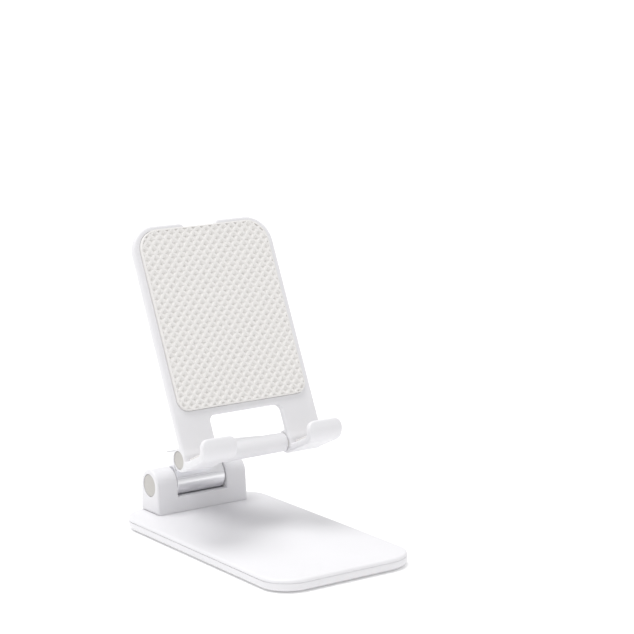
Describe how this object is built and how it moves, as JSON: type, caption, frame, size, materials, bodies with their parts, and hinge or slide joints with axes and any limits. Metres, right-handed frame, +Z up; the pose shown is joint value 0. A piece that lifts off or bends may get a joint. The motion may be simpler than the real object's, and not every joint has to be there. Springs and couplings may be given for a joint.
{
  "type": "phone stand",
  "caption": "Folding desk stand for a phone: weighted base with a rear hinge block, short telescopic arm, and tilting cradle with textured pad and hooks.",
  "frame": {"origin": "middle of the footprint, on the desk, under the foot pad", "axes": "+X to the stand's right seen from the front, +Y to the rear where the hinge block stands, +Z up"},
  "size_m": [0.07, 0.128, 0.1338],
  "materials": {
    "white_plastic": "satin moulded, fine even texture",
    "white_plastic_tray": "satin moulded",
    "weight_steel": "rolled, zinc plated",
    "foot_silicone": "matt silicone",
    "zinc_steel": "zinc plated",
    "hinge_steel": "turned, plated",
    "spring_steel": "hardened, oiled",
    "washer_polymer": "natural polymer",
    "cap_grey": "matt moulded",
    "stem_metal": "satin silver plated",
    "bush_bronze": "sintered bronze",
    "glide_polymer": "smooth polymer",
    "pad_silicone": "matt silicone, diamond pattern",
    "strip_silicone": "matt silicone"
  },
  "bodies": {
    "base": {"base_cover": "white_plastic", "base_tray": "white_plastic_tray", "base_weight": "weight_steel", "foot_pad": "foot_silicone", "hinge_block": "white_plastic", "block_screws": "zinc_steel", "tray_screws": "zinc_steel", "lower_shaft": "hinge_steel", "lower_friction_washers": "washer_polymer", "lower_disc_springs": "spring_steel", "lower_nut": "hinge_steel", "lower_cap_left": "cap_grey", "lower_cap_right": "cap_grey"},
    "stem": {"stem": "stem_metal", "stem_bushes": "bush_bronze", "stop_screws": "zinc_steel"},
    "sleeve": {"arm_sleeve": "white_plastic", "sleeve_glide": "glide_polymer", "leaf_spring": "spring_steel", "head_bushes": "bush_bronze"},
    "cradle": {"cradle": "white_plastic", "cradle_pad": "pad_silicone", "hook_strip_left": "strip_silicone", "hook_strip_right": "strip_silicone", "upper_shaft": "hinge_steel", "upper_friction_washers": "washer_polymer", "upper_disc_springs": "spring_steel", "upper_nut": "hinge_steel", "upper_cap_left": "cap_grey", "upper_cap_right": "cap_grey"}
  },
  "joints": [
    {"name": "arm_tilt", "type": "hinge", "parent": "base", "child": "stem", "pos_m": [0, 0.056, 0.0179], "axis": [-1, 0, 0], "range_deg": [-18, 63.6]},
    {"name": "arm_slide", "type": "slide", "parent": "stem", "child": "sleeve", "axis": [0, -0.9725, 0.2327], "range_m": [-0.0134, 0.004]},
    {"name": "cradle_tilt", "type": "hinge", "parent": "sleeve", "child": "cradle", "pos_m": [0, 0.01041, 0.04053], "axis": [1, 0, 0], "range_deg": [-70.5, 34]}
  ]
}
